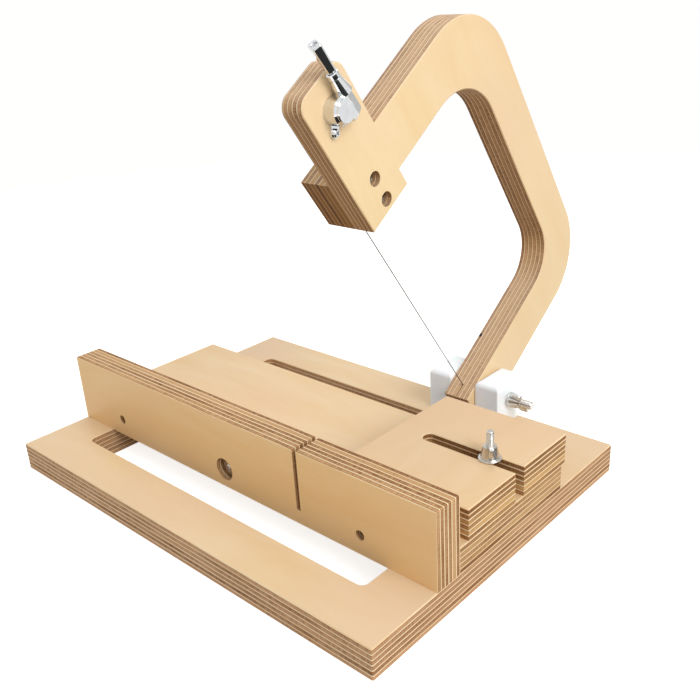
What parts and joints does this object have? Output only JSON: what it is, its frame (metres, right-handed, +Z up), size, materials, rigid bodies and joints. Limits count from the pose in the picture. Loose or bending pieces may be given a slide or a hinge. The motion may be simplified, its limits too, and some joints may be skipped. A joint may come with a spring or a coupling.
{
  "type": "soap cutter",
  "caption": "Plywood cutter for bars of soap: a C-shaped arm on a side pivot brings a taut wire down through a bar held on a bed against a fence, with a sliding stop.",
  "frame": {"origin": "middle of the base frame's underside, at the centre of its outline", "axes": "+X along the fence towards the stop, +Y from the front to the back where the arm is pivoted, +Z up. The arm is stored raised."},
  "size_m": [0.3, 0.3134, 0.2641],
  "materials": {
    "birch_plywood": "sanded and bare, pale, with striped edges",
    "white_plastic": "satin",
    "chrome_plate": "polished",
    "bright_steel": "bright zinc plate",
    "gear_brass": "plain machined",
    "steel_wire": "drawn"
  },
  "bodies": {
    "base": {"base_frame": "birch_plywood", "bed_board": "birch_plywood", "fence": "birch_plywood", "fence_screws": "bright_steel", "fence_washer": "bright_steel", "fence_nut": "bright_steel", "fence_stud": "bright_steel", "bed_screws": "bright_steel", "pivot_block_left": "white_plastic", "pivot_block_right": "white_plastic", "pivot_block_screws": "bright_steel", "pivot_bolt": "bright_steel", "pivot_washer_left": "bright_steel", "pivot_washer_right": "bright_steel", "stop_bolt": "bright_steel"},
    "arm": {"arm_plate": "birch_plywood", "guide_block": "birch_plywood", "guide_block_screws": "bright_steel", "tuner_housing": "chrome_plate", "tuner_cap": "chrome_plate", "tuner_collar": "chrome_plate", "tuner_washer": "chrome_plate", "tuner_bushing": "chrome_plate", "tuner_mount_screw": "bright_steel", "wire_ball_end": "gear_brass", "cutting_wire": "steel_wire"},
    "stop": {"stop_block": "birch_plywood"},
    "stop_nut": {"stop_wing_nut": "bright_steel", "stop_washer": "bright_steel"},
    "pivot_nut": {"pivot_wing_nut": "bright_steel"},
    "tuner_key": {"tuner_worm_shaft": "chrome_plate", "tuner_button": "chrome_plate", "tuner_button_screw": "bright_steel"},
    "wire_post": {"tuner_post": "chrome_plate", "tuner_gear": "gear_brass", "tuner_gear_screw": "bright_steel", "wire_winding": "steel_wire"}
  },
  "joints": [
    {"name": "arm_pivot", "type": "hinge", "parent": "base", "child": "arm", "pos_m": [0.0583, 0.0995, 0.034], "axis": [1, 0, 0], "range_deg": [-35, 54.9]},
    {"name": "stop_slide", "type": "slide", "parent": "base", "child": "stop", "axis": [1, 0, 0], "range_m": [-0.009, 0.037]},
    {"name": "stop_nut_spin", "type": "hinge", "parent": "base", "child": "stop_nut", "pos_m": [0.1318, 0.0067, 0.056], "axis": [0, 0, 1], "continuous": true},
    {"name": "pivot_nut_spin", "type": "hinge", "parent": "base", "child": "pivot_nut", "pos_m": [0.089, 0.0995, 0.034], "axis": [1, 0, 0], "continuous": true},
    {"name": "tuner_key_spin", "type": "hinge", "parent": "arm", "child": "tuner_key", "pos_m": [0.0719, -0.02217, 0.23354], "axis": [0, -0.6211, 0.7837], "continuous": true},
    {"name": "wire_post_spin", "type": "hinge", "parent": "arm", "child": "wire_post", "pos_m": [0.0673, -0.02782, 0.22906], "axis": [1, 0, 0], "continuous": true}
  ],
  "couplings": [
    {"joint": "tuner_key_spin", "follows": "wire_post_spin", "ratio": 15}
  ]
}
